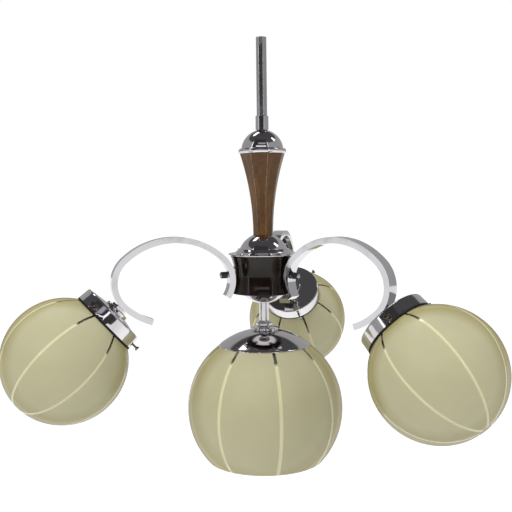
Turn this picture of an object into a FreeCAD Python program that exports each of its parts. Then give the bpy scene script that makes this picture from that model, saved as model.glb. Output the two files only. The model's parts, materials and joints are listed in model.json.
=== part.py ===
"""Five-light chandelier: a tube-hung hub with three C-shaped arms and four glass shades.

Millimetres, +Z up. The origin is the top end of the suspension tube, on its axis.
Each arm lies in a vertical plane through that axis. Pieces at the end of an arm are drawn
along their own Z axis, which leaves the arm's outer face and runs through the globe's centre.
"""
import FreeCAD
import Part
import Sketcher
import math
import os
import re

Vector = FreeCAD.Vector
DOC = FreeCAD.newDocument("Chandelier")

# Driving dimensions: one plain number each, lengths in mm and angles in degrees.
SIZES = {
    # clearances
    "slip_gap": 0.2,
    "hole_gap": 0.3,
    "arm_gap": 0.8,
    # radius of a rounded rim, as a share of its height
    "edge_fullness": 0.6,
    # suspension tube, its sleeve and the threaded pipe that ties the stack together
    "tube_radius": 6.5,
    "tube_length": 113.6,
    "tube_spigot": 6.2,
    "pipe_radius": 5.0,
    "pipe_bore": 3.5,
    "pipe_lap": 14.0,
    "sleeve_wall": 1.7,
    "sleeve_height": 18.0,
    "sleeve_chamfer": 1.0,
    "pipe_nut_radius": 8.5,
    "pipe_nut_height": 3.5,
    # top dome and ring
    "sheet_wall": 1.0,
    "top_dome_radius": 26.3,
    "top_dome_height": 23.7,
    "top_ring_radius": 30.0,
    "top_ring_height": 6.3,
    # baluster with eight hollowed faces
    "baluster_height": 102.0,
    "baluster_top_apothem": 26.8,
    "baluster_foot_apothem": 12.0,
    "baluster_hollow": 345.0,
    "baluster_turn": 3.5,
    "baluster_sides": 8,
    # hub
    "hub_dome_height": 17.0,
    "hub_dome_radius": 30.0,
    "hub_collar_height": 5.8,
    "hub_collar_radius": 35.0,
    "hub_collar_step": 2.4,
    "hub_plate_height": 2.0,
    "hub_plate_radius": 44.5,
    "drum_height": 48.0,
    "drum_radius": 42.0,
    "drum_waist": 37.2,
    "drum_edge": 1.2,
    "core_radius": 11.0,
    "core_height": 12.0,
    "hub_bowl_radius": 29.0,
    "hub_bowl_height": 13.0,
    "hub_bowl_foot": 8.4,
    # arms: a four-arc oval of flat rectangular tube
    "loop_half_length": 73.25,
    "loop_half_height": 51.75,
    "loop_end_radius": 38.0,
    "loop_drop": 6.0,
    "bar_thickness": 7.5,
    "bar_width": 15.0,
    "bar_wall": 1.0,
    "bar_cap_angle": 2.0,
    "hub_end_angle": 34.0,
    "tip_angle": 18.0,
    "stud_radius": 3.0,
    "stud_reach": 18.0,
    "stud_nut_radius": 4.2,
    "stud_nut_length": 8.0,
    # flex inside the tubes
    "wire_radius": 1.3,
    "wire_bend": 4.0,
    "wire_rise": 9.0,
    "supply_radius": 2.7,
    "supply_start": 2.0,
    # cups
    "cup_tilt": 42.0,
    "arm_nut_radius": 10.5,
    "arm_nut_height": 3.0,
    "boss_radius": 16.0,
    "boss_height": 3.2,
    "boss_round": 1.6,
    "cup_cone_height": 3.4,
    "cup_depth": 15.8,
    "cup_radius": 43.0,
    "cup_flare": 1.0,
    "cup_corner": 2.6,
    "locknut_radius": 8.5,
    "locknut_height": 3.0,
    # globes
    "globe_radius": 75.0,
    "globe_wall": 2.5,
    "globe_reach": 90.05,
    "neck_radius": 38.6,
    "neck_lip": 1.6,
    "neck_lip_height": 2.6,
    "neck_start": 12.2,
    "gasket_width": 2.0,
    # thumb screws
    "screw_radius": 1.3,
    "screw_setback": 5.6,
    "screw_stand": 7.4,
    "screw_head_radius": 3.0,
    "screw_head_height": 2.8,
    "screw_head_edge": 1.0,
    # lampholders for E27 lamps
    "holder_radius": 19.5,
    "holder_root": 15.0,
    "holder_cone": 4.0,
    "holder_length": 46.0,
    "holder_wall": 2.2,
    "holder_floor": 4.0,
    "thread_radius": 13.3,
    "thread_depth": 24.0,
    "thread_recess": 1.0,
    "socket_floor": 5.0,
    # lower tube, spool, shade plate and centre shade
    "lower_tube_radius": 6.2,
    "lower_tube_drop": 22.6,
    "lower_tube_tuck": 1.6,
    "spool_height": 10.4,
    "spool_top": 7.4,
    "spool_middle": 10.2,
    "spool_neck": 8.6,
    "spool_flange": 17.8,
    "spool_flange_height": 2.4,
    "plate_rim_radius": 57.7,
    "plate_curve": 93.0,
    "shade_radius": 98.7,
    "shade_wall": 3.0,
    "shade_hole": 22.5,
    "shade_mouth": 74.0,
    "shade_ring_radius": 31.0,
    "shade_ring_height": 2.5,
}

# Direction of each arm around the axis, and the turn of its cup's first thumb screw.
ARMS = {"back": (90.0, 98.0), "left": (210.0, 10.0), "right": (330.0, 2.0)}
for side, (azimuth, first_screw) in ARMS.items():
    SIZES["azimuth_" + side] = azimuth
    SIZES["first_screw_" + side] = first_screw
SCREWS_PER_CUP = 3

# Levels, radii and angles that follow from the driving dimensions.
PLACES = {
    # bores that ride on the pipe, and levels down the axis
    "pipe_clear": "pipe_radius + slip_gap",
    "pipe_top": "pipe_lap - tube_length",
    "top_dome_apex": "-tube_length - slip_gap",
    "top_dome_base": "top_dome_apex - top_dome_height",
    "top_dome_curve": "(top_dome_radius ^ 2 + top_dome_height ^ 2) / (2 * top_dome_height)",
    "top_dome_centre": "top_dome_apex - top_dome_curve",
    "sleeve_bore": "tube_spigot + slip_gap",
    "sleeve_radius": "sleeve_bore + sleeve_wall",
    "sleeve_base": "top_dome_centre + sqrt(top_dome_curve ^ 2 - sleeve_bore ^ 2) + slip_gap",
    "sleeve_top": "sleeve_base + sleeve_height",
    "spigot_start": "sleeve_top + slip_gap",
    "top_ring_base": "top_dome_base - top_ring_height",
    "ring_edge": "edge_fullness * top_ring_height",
    "ring_side": "top_ring_radius - ring_edge + sqrt(ring_edge ^ 2 - top_ring_height ^ 2 / 4)",
    "baluster_base": "top_ring_base - baluster_height",
    "hub_seat_radius": "baluster_foot_apothem / cos(180 / baluster_sides) + slip_gap",
    "hub_dome_base": "baluster_base - hub_dome_height",
    "hub_dome_sink": "(hub_dome_radius ^ 2 - hub_seat_radius ^ 2) / (2 * hub_dome_height)"
                     " - hub_dome_height / 2",
    "hub_dome_curve": "sqrt(hub_dome_radius ^ 2 + hub_dome_sink ^ 2)",
    "hub_collar_base": "hub_dome_base - hub_collar_height",
    "hub_plate_base": "hub_collar_base - hub_plate_height",
    "plate_edge": "edge_fullness * hub_plate_height",
    "plate_side": "hub_plate_radius - plate_edge + sqrt(plate_edge ^ 2 - hub_plate_height ^ 2 / 4)",
    "drum_base": "hub_plate_base - drum_height",
    "drum_half": "drum_height / 2 - drum_edge",
    "drum_sag": "drum_radius - drum_waist",
    "drum_hollow": "(drum_half ^ 2 + drum_sag ^ 2) / (2 * drum_sag)",
    "waist_level": "hub_plate_base - drum_height / 2",
    "wire_level": "waist_level + wire_rise",
    "bowl_base": "drum_base - hub_bowl_height",
    "bowl_rise": "(hub_bowl_radius ^ 2 - hub_bowl_foot ^ 2) / (2 * hub_bowl_height)"
                 " - hub_bowl_height / 2",
    "bowl_curve": "sqrt(hub_bowl_radius ^ 2 + bowl_rise ^ 2)",
    "spool_level": "bowl_base - lower_tube_drop",
    # the arm's oval: end arcs on the level axis, flatter arcs above and below
    "loop_level": "waist_level - loop_drop",
    "loop_flat_radius": "(loop_half_length ^ 2 + loop_half_height ^ 2"
                        " - 2 * loop_half_length * loop_end_radius)"
                        " / (2 * (loop_half_height - loop_end_radius))",
    "loop_flat_sink": "loop_flat_radius - loop_half_height",
    "loop_turn": "atan(loop_flat_sink / (loop_half_length - loop_end_radius)) / 1 deg",
    "bar_outer": "loop_end_radius + bar_thickness / 2",
    "bar_inner": "loop_end_radius - bar_thickness / 2",
    "edge_rise": "drum_height / 2 - loop_drop",
    "hub_arc_centre": "max(drum_waist + arm_gap + bar_outer;"
                      " drum_radius + sqrt((bar_outer + arm_gap) ^ 2 - edge_rise ^ 2))",
    "loop_centre": "hub_arc_centre + loop_half_length - loop_end_radius",
    "cup_arc_centre": "2 * loop_centre - hub_arc_centre",
    "stud_start": "pipe_clear + slip_gap",
    "stud_end": "hub_arc_centre - sqrt(bar_outer ^ 2 - loop_drop ^ 2) + stud_reach",
    "stud_nut_start": "hub_arc_centre - sqrt(bar_inner ^ 2 - (loop_drop + stud_nut_radius) ^ 2)"
                      " + slip_gap",
    # the wire leaves its level run for the oval, and the oval for the nipple
    "bend_reach": "loop_end_radius + wire_bend",
    "bend_rise": "wire_level + wire_bend - loop_level",
    "bend_centre": "hub_arc_centre - sqrt(bend_reach ^ 2 - bend_rise ^ 2)",
    "bend_share": "loop_end_radius / bend_reach",
    "exit_lag": "asin(wire_bend / bend_reach) / 1 deg",
    # along a cup's own axis, from the arm's outer face
    "cup_root": "cup_arc_centre + bar_outer * cos(cup_tilt)",
    "cup_root_level": "loop_level - bar_outer * sin(cup_tilt)",
    "boss_start": "slip_gap + arm_nut_height",
    "cup_floor": "boss_start + boss_height",
    "cup_shoulder": "cup_floor + cup_cone_height",
    "cup_rim": "cup_shoulder + cup_depth",
    "cup_inside": "cup_floor + sheet_wall",
    "holder_start": "cup_inside + locknut_height",
    "nipple_start": "-bar_wall",
    "nipple_end": "holder_start + holder_floor",
    "socket_back": "holder_length - thread_recess - thread_depth - socket_floor",
    "wire_end": "holder_start + socket_back - slip_gap",
    "screw_level": "cup_rim - screw_setback",
    "screw_tip": "neck_radius + hole_gap",
    "neck_bore": "neck_radius - globe_wall",
    "globe_inner": "globe_radius - globe_wall",
    "neck_end": "globe_reach - sqrt(globe_radius ^ 2 - neck_radius ^ 2)",
    "neck_end_inside": "globe_reach - sqrt(globe_inner ^ 2 - neck_bore ^ 2)",
    "gasket_inner": "neck_radius + gasket_width",
    "gasket_curve": "globe_radius + slip_gap",
    # centre shade, resting under the rim of its plate
    "plate_apex": "spool_level - spool_height",
    "plate_centre": "plate_apex - plate_curve",
    "plate_inner": "plate_curve - sheet_wall",
    "shade_centre": "plate_centre + sqrt(plate_inner ^ 2 - plate_rim_radius ^ 2) - slip_gap"
                    " - sqrt(shade_radius ^ 2 - plate_rim_radius ^ 2)",
    "shade_inner": "shade_radius - shade_wall",
    "plate_nut_level": "plate_centre + sqrt(plate_inner ^ 2 - pipe_nut_radius ^ 2)"
                       " - slip_gap - pipe_nut_height",
    "centre_holder_level": "plate_nut_level - slip_gap",
    "pipe_end": "centre_holder_level - holder_floor",
    "shade_ring_level": "shade_centre + sqrt(shade_inner ^ 2 - shade_ring_radius ^ 2) - slip_gap",
}


def named(text):
    """The expression with each size and place prefixed by its sheet."""
    def prefix(match):
        word = match.group(0)
        if word in SIZES:
            return "Sizes." + word
        return "Places." + word if word in PLACES else word
    return re.sub(r"[a-z][a-z_]*", prefix, str(text))


def fill_sheet(name, rows):
    """A spreadsheet with one aliased cell for each row."""
    sheet = DOC.addObject("Spreadsheet::Sheet", name)
    for row, (alias, content) in enumerate(rows, start=1):
        sheet.set("A%d" % row, alias)
        sheet.set("B%d" % row, content)
        sheet.setAlias("B%d" % row, alias)
    DOC.recompute()
    return sheet


SIZE_SHEET = fill_sheet("Sizes", [(alias, str(size)) for alias, size in SIZES.items()])
PLACE_SHEET = fill_sheet("Places", [(alias, "=" + named(text)) for alias, text in PLACES.items()])


def value(text):
    """The present value of an expression, as a plain number."""
    return float(SIZE_SHEET.evalExpression(named(text)))


def bind(thing, **expressions):
    """Tie properties of a document object to expressions."""
    for name, text in expressions.items():
        thing.setExpression(name, named(text))
    return thing


def chain(steps):
    """The placement of (x, y, z, yaw, pitch) steps, each in the frame of the one before."""
    step = "placement(vector(%s; %s; %s); rotation(%s; %s; 0))"
    return " * ".join(step % moves for moves in steps)


def placed(thing, *steps):
    """Place an object by a chain of steps."""
    return bind(thing, Placement=chain(steps))


# ---------------------------------------------------------------- sketches and features

def plane_of(body, role):
    """One of a body's own origin planes."""
    return next(item for item in body.Origin.OriginFeatures if item.Role == role)


def new_body(label):
    body = DOC.addObject("PartDesign::Body", label)
    body.Label = label
    return body


def new_sketch(body, role, name, offset=None):
    """A sketch on one of the body's planes, moved along its normal if an offset is given."""
    sketch = body.newObject("Sketcher::SketchObject", name)
    sketch.AttachmentSupport = [(plane_of(body, role), "")]
    sketch.MapMode = "FlatFace"
    if offset is not None:
        sketch.setExpression("AttachmentOffset.Base.z", named(offset))
    return sketch


def pin_point(sketch, edge, end, corner):
    """Hold one end of an edge at a corner given by two expressions."""
    for kind, text in zip(("DistanceX", "DistanceY"), corner):
        held = sketch.addConstraint(Sketcher.Constraint(kind, -1, 1, edge, end, value(text)))
        sketch.setExpression("Constraints[%d]" % held, named(text))


def add_side(sketch, start, finish):
    """An edge from one corner to the next, and which of its ends is the start.

    A third item in a corner is the radius of an arc to the next corner: plus if the way
    turns left on it, minus if it turns right.
    """
    first = Vector(value(start[0]), value(start[1]), 0)
    last = Vector(value(finish[0]), value(finish[1]), 0)
    if len(start) == 2:
        return sketch.addGeometry(Part.LineSegment(first, last), False), 1
    radius = value(start[2])
    turn = math.copysign(1, radius)
    chord = last - first
    left = Vector(-chord.y, chord.x, 0).normalize() * turn
    middle = (first + last) * 0.5
    centre = middle + left * math.sqrt(max(radius ** 2 - chord.Length ** 2 / 4, 0))
    begin, end = (first, last) if turn > 0 else (last, first)
    angles = [math.atan2(point.y - centre.y, point.x - centre.x) for point in (begin, end)]
    circle = Part.Circle(centre, Vector(0, 0, 1), abs(radius))
    edge = sketch.addGeometry(Part.ArcOfCircle(circle, *angles), False)
    held = sketch.addConstraint(Sketcher.Constraint("Radius", edge, abs(radius)))
    sketch.setExpression("Constraints[%d]" % held, named("abs(%s)" % start[2]))
    return edge, 1 if turn > 0 else 2


def draw(sketch, corners, closed=True):
    """Draw corners joined by straight sides and arcs, each corner held by expressions."""
    count = len(corners)
    sides = count if closed else count - 1
    edges = [add_side(sketch, corners[i], corners[(i + 1) % count]) for i in range(sides)]
    for index, (edge, start) in enumerate(edges):
        pin_point(sketch, edge, start, corners[index][:2])
        if index or closed:
            before, before_start = edges[index - 1]
            joint = Sketcher.Constraint("Coincident", edge, start, before, 3 - before_start)
            sketch.addConstraint(joint)
    if not closed:
        edge, start = edges[-1]
        pin_point(sketch, edge, 3 - start, corners[-1][:2])


def draw_circle(sketch, radius, across="0", up="0"):
    """A circle with its centre and radius held by expressions."""
    centre = Vector(value(across), value(up), 0)
    edge = sketch.addGeometry(Part.Circle(centre, Vector(0, 0, 1), value(radius)), False)
    pin_point(sketch, edge, 3, (across, up))
    held = sketch.addConstraint(Sketcher.Constraint("Radius", edge, value(radius)))
    sketch.setExpression("Constraints[%d]" % held, named(radius))


def turned(label, corners):
    """A body turned about its Z axis from an outline of (radius, level) corners."""
    body = new_body(label)
    sketch = new_sketch(body, "XZ_Plane", label + "_outline")
    draw(sketch, corners)
    turning = body.newObject("PartDesign::Revolution", label + "_turning")
    turning.Profile = sketch
    turning.ReferenceAxis = (sketch, ["V_Axis"])
    turning.Angle = 360
    return body


def pipe_like(label, outer, bore, top, base):
    """A straight tube between two levels."""
    return turned(label, [(bore, base), (outer, base), (outer, top), (bore, top)])


def drill(body, radius, length, *steps):
    """Cut a round hole whose axis starts at the placed point and runs along its Z."""
    hole = body.newObject("PartDesign::SubtractiveCylinder", body.Label + "_hole")
    hole.AttachmentSupport = [(plane_of(body, "XY_Plane"), "")]
    hole.MapMode = "FlatFace"
    return bind(hole, Radius=radius, Height=length, AttachmentOffset=chain(steps))


def rod(radius, length, *steps):
    """A Part cylinder along the Z axis of its placed frame."""
    cylinder = bind(DOC.addObject("Part::Cylinder", "Rod"), Radius=radius, Height=length)
    return placed(cylinder, *steps)


def nut(radius, bore, height, *steps):
    """A hexagonal nut standing on the placed frame."""
    prism = bind(DOC.addObject("Part::Prism", "Hexagon"), Circumradius=radius, Height=height)
    prism.Polygon = 6
    placed(prism, *steps)
    ring = DOC.addObject("Part::Cut", "Nut")
    ring.Base = prism
    ring.Tool = rod(bore, height, *steps)
    return ring


def group(label, pieces):
    """Identical fasteners kept together as one sub-part."""
    compound = DOC.addObject("Part::Compound", label)
    compound.Label = label
    compound.Links = pieces
    return compound


# ---------------------------------------------------------------- frames

def arm_frame(side):
    """The frame of an arm: X runs outwards, Z up."""
    return ("0", "0", "0", "azimuth_" + side, "0")


def cup_frame(side):
    """The frame of a cup: Z leaves the arm's outer face, outwards and down."""
    return [arm_frame(side), ("cup_root", "0", "cup_root_level", "0", "90 + cup_tilt")]


CENTRE_HOLDER_FRAME = ("0", "0", "centre_holder_level", "0", "180")


# ---------------------------------------------------------------- the stack on the axis

def suspension():
    """Tube, coupling sleeve and the long threaded pipe inside the stack."""
    tube = turned("suspension_tube", [
        ("pipe_clear", "-tube_length"),
        ("tube_spigot", "-tube_length"),
        ("tube_spigot", "spigot_start"),
        ("tube_radius", "spigot_start"),
        ("tube_radius", "0"),
        ("pipe_clear", "0"),
    ])
    sleeve = turned("coupling_sleeve", [
        ("sleeve_bore", "sleeve_base"),
        ("sleeve_radius", "sleeve_base"),
        ("sleeve_radius", "sleeve_top - sleeve_chamfer"),
        ("sleeve_radius - sleeve_chamfer", "sleeve_top"),
        ("sleeve_bore", "sleeve_top"),
    ])
    pipe = pipe_like("central_pipe", "pipe_radius", "pipe_bore", "pipe_top", "pipe_end")
    for side in ARMS:
        drill(pipe, "wire_radius + hole_gap", "pipe_radius + slip_gap",
              ("0", "0", "wire_level", "azimuth_" + side, "90"))
    nut_levels = ["top_dome_base", "drum_base - pipe_nut_height", "plate_nut_level"]
    nuts = [nut("pipe_nut_radius", "pipe_clear", "pipe_nut_height", ("0", "0", level, "0", "0"))
            for level in nut_levels]
    return [tube, sleeve, pipe, group("pipe_nuts", nuts)]


def top_dome():
    """Spun dome and the rounded ring under it."""
    inner = "top_dome_curve - sheet_wall"
    hole_rise = "sqrt(top_dome_curve ^ 2 - pipe_clear ^ 2)"
    inner_rise = "sqrt((top_dome_curve - sheet_wall) ^ 2 - pipe_clear ^ 2)"
    inner_rim = "sqrt((top_dome_curve - sheet_wall) ^ 2 - (top_dome_base - top_dome_centre) ^ 2)"
    dome = turned("top_dome", [
        (inner_rim, "top_dome_base"),
        ("top_dome_radius", "top_dome_base", "top_dome_curve"),
        ("pipe_clear", "top_dome_centre + " + hole_rise),
        ("pipe_clear", "top_dome_centre + " + inner_rise, "-(%s)" % inner),
    ])
    ring = turned("top_ring", [
        ("pipe_clear", "top_ring_base"),
        ("ring_side", "top_ring_base", "ring_edge"),
        ("ring_side", "top_dome_base"),
        ("pipe_clear", "top_dome_base"),
    ])
    return [dome, ring]


def baluster():
    """Octagonal wooden baluster: a round blank with eight hollowed faces cut into it."""
    body = turned("baluster", [
        ("pipe_clear", "baluster_base"),
        ("baluster_foot_apothem / cos(180 / baluster_sides)", "baluster_base"),
        ("baluster_top_apothem / cos(180 / baluster_sides)", "top_ring_base"),
        ("pipe_clear", "top_ring_base"),
    ])
    clear = "baluster_top_apothem * 2"
    face = new_sketch(body, "XZ_Plane", "baluster_face")
    draw(face, [
        ("baluster_foot_apothem", "baluster_base", "-baluster_hollow"),
        ("baluster_top_apothem", "top_ring_base"),
        (clear, "top_ring_base"),
        (clear, "baluster_base"),
    ])
    cut = body.newObject("PartDesign::Pocket", "baluster_face_cut")
    cut.Profile = face
    cut.SideType = "Symmetric"
    bind(cut, Length=clear)
    around = body.newObject("PartDesign::PolarPattern", "baluster_faces")
    around.Originals = [cut]
    around.Axis = (plane_of(body, "Z_Axis"), [""])
    around.Angle = 360
    bind(around, Occurrences="baluster_sides")
    body.Tip = around
    placed(body, ("0", "0", "0", "baluster_turn", "0"))
    return [body]


def hub():
    """Dome, stepped collar and plate above the drum, the drum with its core, and the bowl."""
    dome = turned("hub_dome", [
        ("hub_dome_radius - sheet_wall", "hub_dome_base"),
        ("hub_dome_radius", "hub_dome_base", "hub_dome_curve"),
        ("hub_seat_radius", "baluster_base"),
        ("pipe_clear", "baluster_base"),
        ("pipe_clear", "baluster_base - sheet_wall"),
        ("hub_seat_radius", "baluster_base - sheet_wall", "-(hub_dome_curve - sheet_wall)"),
    ])
    step = "hub_collar_radius - hub_collar_step"
    half = "hub_collar_height / 2"
    collar = turned("hub_collar", [
        ("pipe_clear", "hub_collar_base"),
        ("hub_collar_radius", "hub_collar_base"),
        ("hub_collar_radius", "hub_collar_base + " + half),
        (step, "hub_collar_base + " + half),
        (step, "hub_dome_base"),
        ("pipe_clear", "hub_dome_base"),
    ])
    plate = turned("hub_plate", [
        ("pipe_clear", "hub_plate_base"),
        ("plate_side", "hub_plate_base", "plate_edge"),
        ("plate_side", "hub_collar_base"),
        ("pipe_clear", "hub_collar_base"),
    ])
    drum = turned("hub_drum", [
        ("core_radius + slip_gap", "drum_base"),
        ("drum_radius - drum_edge", "drum_base", "drum_edge"),
        ("drum_radius", "waist_level - drum_half", "-drum_hollow"),
        ("drum_radius", "waist_level + drum_half", "drum_edge"),
        ("drum_radius - drum_edge", "hub_plate_base"),
        ("core_radius + slip_gap", "hub_plate_base"),
    ])
    core = pipe_like("hub_core", "core_radius", "pipe_clear",
                     "waist_level + core_height / 2", "waist_level - core_height / 2")
    for side in ARMS:
        stud_way = ("0", "0", "waist_level", "azimuth_" + side, "90")
        drill(core, "stud_radius + slip_gap", "hub_plate_radius", stud_way)
        drill(drum, "stud_radius + hole_gap", "hub_plate_radius", stud_way)
        drill(drum, "wire_radius + hole_gap", "hub_plate_radius",
              ("0", "0", "wire_level", "azimuth_" + side, "90"))
    bowl = turned("hub_bowl", [
        ("hub_bowl_radius - sheet_wall", "drum_base", "-(bowl_curve - sheet_wall)"),
        ("hub_bowl_foot", "bowl_base + sheet_wall"),
        ("lower_tube_radius + slip_gap", "bowl_base + sheet_wall"),
        ("lower_tube_radius + slip_gap", "bowl_base"),
        ("hub_bowl_foot", "bowl_base", "bowl_curve"),
        ("hub_bowl_radius", "drum_base"),
    ])
    return [dome, collar, plate, drum, core, bowl]


def shade_carrier():
    """Lower tube, stepped spool and the domed plate over the centre shade."""
    tube = pipe_like("lower_tube", "lower_tube_radius", "pipe_clear",
                     "bowl_base + lower_tube_tuck", "spool_level")
    flange_level = "plate_centre + sqrt(plate_curve ^ 2 - spool_flange ^ 2)"
    bore_level = "plate_centre + sqrt(plate_curve ^ 2 - pipe_clear ^ 2)"
    flange_top = "plate_apex + spool_flange_height"
    third = "(spool_level - plate_apex - spool_flange_height) / 3"
    spool = turned("shade_spool", [
        ("pipe_clear", bore_level, "-plate_curve"),
        ("spool_flange", flange_level),
        ("spool_flange", flange_top + " - spool_flange_height / 2"),
        ("spool_neck", flange_top),
        ("spool_middle", flange_top + " + " + third),
        ("spool_middle", "spool_level - " + third),
        ("spool_top", "spool_level - %s / 2" % third),
        ("spool_top", "spool_level"),
        ("pipe_clear", "spool_level"),
    ])
    rim_level = "plate_centre + sqrt(plate_curve ^ 2 - plate_rim_radius ^ 2)"
    rim_inside = "plate_centre + sqrt(plate_inner ^ 2 - plate_rim_radius ^ 2)"
    plate = turned("shade_plate", [
        ("plate_rim_radius", rim_inside),
        ("plate_rim_radius", rim_level, "plate_curve"),
        ("pipe_clear", bore_level),
        ("pipe_clear", "plate_centre + sqrt(plate_inner ^ 2 - pipe_clear ^ 2)", "-plate_inner"),
    ])
    return [tube, spool, plate]


def centre_shade():
    """The large open-mouthed shade and the ring that clamps it from inside."""
    mouth_inner = "shade_mouth - shade_wall"
    mouth = "shade_centre - sqrt(shade_radius ^ 2 - shade_mouth ^ 2)"
    mouth_inside = "shade_centre - sqrt(shade_inner ^ 2 - (%s) ^ 2)" % mouth_inner
    hole = "shade_centre + sqrt(shade_radius ^ 2 - shade_hole ^ 2)"
    hole_inside = "shade_centre + sqrt(shade_inner ^ 2 - shade_hole ^ 2)"
    shade = turned("centre_shade", [
        ("shade_mouth", mouth, "shade_radius"),
        ("shade_hole", hole),
        ("shade_hole", hole_inside, "-shade_inner"),
        (mouth_inner, mouth_inside),
    ])
    bore = "holder_radius + slip_gap"
    ring = turned("shade_ring", [
        (bore, "shade_ring_level - shade_ring_height"),
        ("shade_ring_radius", "shade_ring_level - shade_ring_height"),
        ("shade_ring_radius", "shade_ring_level"),
        (bore, "shade_ring_level"),
    ])
    return [shade, ring]


# ---------------------------------------------------------------- lampholders

def lampholder(name, start, *steps):
    """A bakelite shell and the threaded socket inside it, along the Z of a placed frame."""
    mouth = "%s + holder_length" % start
    bore = "holder_radius - holder_wall"
    floor = "%s + holder_floor" % start
    shell = turned("holder_shell_" + name, [
        ("pipe_clear", start),
        ("holder_root", start),
        ("holder_radius", start + " + holder_cone"),
        ("holder_radius", mouth),
        (bore, mouth),
        (bore, floor + " + holder_cone"),
        ("holder_root - holder_wall", floor),
        ("pipe_clear", floor),
    ])
    top = mouth + " - thread_recess"
    bottom = start + " + socket_back"
    socket = turned("holder_socket_" + name, [
        ("0", bottom),
        (bore + " - slip_gap", bottom),
        (bore + " - slip_gap", top),
        ("thread_radius", top),
        ("thread_radius", top + " - thread_depth"),
        ("0", top + " - thread_depth"),
    ])
    return [placed(shell, *steps), placed(socket, *steps)]


# ---------------------------------------------------------------- arms

def around_loop(centre, radius, angle, level="loop_level"):
    """The point at an angle on a circle about a centre in the arm's plane."""
    return ("%s + (%s) * cos(%s)" % (centre, radius, angle),
            "%s + (%s) * sin(%s)" % (level, radius, angle))


def loop_outline(spread, end_angle, tip_angle):
    """Outline of the bent bar, with its faces at +-spread from the middle line."""
    sides = []
    for sign in ("+", "-"):
        end = "loop_end_radius %s (%s)" % (sign, spread)
        flat = "loop_flat_radius %s (%s)" % (sign, spread)
        sides.append([
            (*around_loop("hub_arc_centre", end, "180 + " + end_angle), end),
            (*around_loop("hub_arc_centre", end, "180 - loop_turn"), flat),
            (*around_loop("cup_arc_centre", end, "loop_turn"), end),
            (*around_loop("cup_arc_centre", end, "-loop_turn"), flat),
            around_loop("loop_centre", flat, "-90 + " + tip_angle, "loop_level + loop_flat_sink"),
        ])
    outer = [(*corner[:2], *("-(%s)" % radius for radius in corner[2:])) for corner in sides[0]]
    points = [corner[:2] for corner in sides[1]]
    radii = [corner[2] for corner in sides[1][:-1]]
    back = [(*point, radius) for point, radius in zip(points[:0:-1], radii[::-1])]
    return outer + back + [points[0]]


def arm(side):
    """A bent rectangular tube, closed at both ends, with holes for stud, wire and nipple."""
    body = new_body("arm_" + side)
    outside = new_sketch(body, "XZ_Plane", body.Label + "_outline")
    draw(outside, loop_outline("bar_thickness / 2", "hub_end_angle", "tip_angle"))
    pad = body.newObject("PartDesign::Pad", body.Label + "_bar")
    pad.Profile = outside
    pad.SideType = "Symmetric"
    bind(pad, Length="bar_width")
    inside = new_sketch(body, "XZ_Plane", body.Label + "_hollow_outline")
    draw(inside, loop_outline("bar_thickness / 2 - bar_wall", "(hub_end_angle - bar_cap_angle)",
                              "(tip_angle + bar_cap_angle / 2)"))
    hollow = body.newObject("PartDesign::Pocket", body.Label + "_hollow")
    hollow.Profile = inside
    hollow.SideType = "Symmetric"
    bind(hollow, Length="bar_width - 2 * bar_wall")
    drill(body, "stud_radius + hole_gap", "loop_centre", ("0", "0", "waist_level", "0", "90"))
    drill(body, "wire_radius + hole_gap", "bend_centre", ("0", "0", "wire_level", "0", "90"))
    drill(body, "pipe_radius + slip_gap", "loop_end_radius",
          ("cup_arc_centre", "0", "loop_level", "0", "90 + cup_tilt"),
          ("0", "0", "loop_end_radius", "0", "0"))
    return placed(body, arm_frame(side))


def arm_wire(side):
    """The flex of one light: out of the hub, round inside the bar and down the nipple."""
    body = new_body("arm_wire_" + side)
    on_bend = "hub_arc_centre - (hub_arc_centre - bend_centre) * bend_share"
    leave = "exit_lag - cup_tilt"
    into = "bend_reach * cos(exit_lag)"
    tail = "bar_outer + wire_end"
    path = new_sketch(body, "XZ_Plane", body.Label + "_path")
    start = "pipe_bore + slip_gap"
    draw(path, [
        (start, "wire_level"),
        ("bend_centre", "wire_level", "wire_bend"),
        (on_bend, "loop_level + bend_rise * bend_share", "-loop_end_radius"),
        (*around_loop("hub_arc_centre", "loop_end_radius", "180 - loop_turn"),
         "-loop_flat_radius"),
        (*around_loop("cup_arc_centre", "loop_end_radius", "loop_turn"), "-loop_end_radius"),
        (*around_loop("cup_arc_centre", "loop_end_radius", leave), "wire_bend"),
        around_loop("cup_arc_centre", into, "-cup_tilt"),
        around_loop("cup_arc_centre", tail, "-cup_tilt"),
    ], closed=False)
    section = new_sketch(body, "YZ_Plane", body.Label + "_section", start)
    draw_circle(section, "wire_radius", "0", "wire_level")
    sweep = body.newObject("PartDesign::AdditivePipe", body.Label + "_flex")
    sweep.Profile = section
    sweep.Spine = (path, [])
    return placed(body, arm_frame(side))


def cup(side):
    """Spun cup that holds a globe by its neck."""
    back_edge = "cup_radius - cup_flare - cup_corner"
    wall_foot = "cup_radius - cup_flare"
    body = turned("cup_" + side, [
        ("pipe_clear", "cup_floor"),
        ("boss_radius", "cup_floor"),
        (back_edge, "cup_shoulder", "cup_corner"),
        (wall_foot, "cup_shoulder + cup_corner"),
        ("cup_radius", "cup_rim"),
        ("cup_radius - sheet_wall", "cup_rim"),
        (wall_foot + " - sheet_wall", "cup_shoulder + cup_corner", "-(cup_corner - sheet_wall)"),
        (back_edge, "cup_shoulder + sheet_wall"),
        ("boss_radius", "cup_inside"),
        ("pipe_clear", "cup_inside"),
    ])
    for index in range(SCREWS_PER_CUP):
        drill(body, "screw_radius + hole_gap", "cup_radius + slip_gap",
              ("0", "0", "screw_level", screw_turn(side, index), "90"))
    return placed(body, *cup_frame(side))


def screw_turn(side, index):
    return "first_screw_%s + %d * 360 / %d" % (side, index, SCREWS_PER_CUP)


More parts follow.
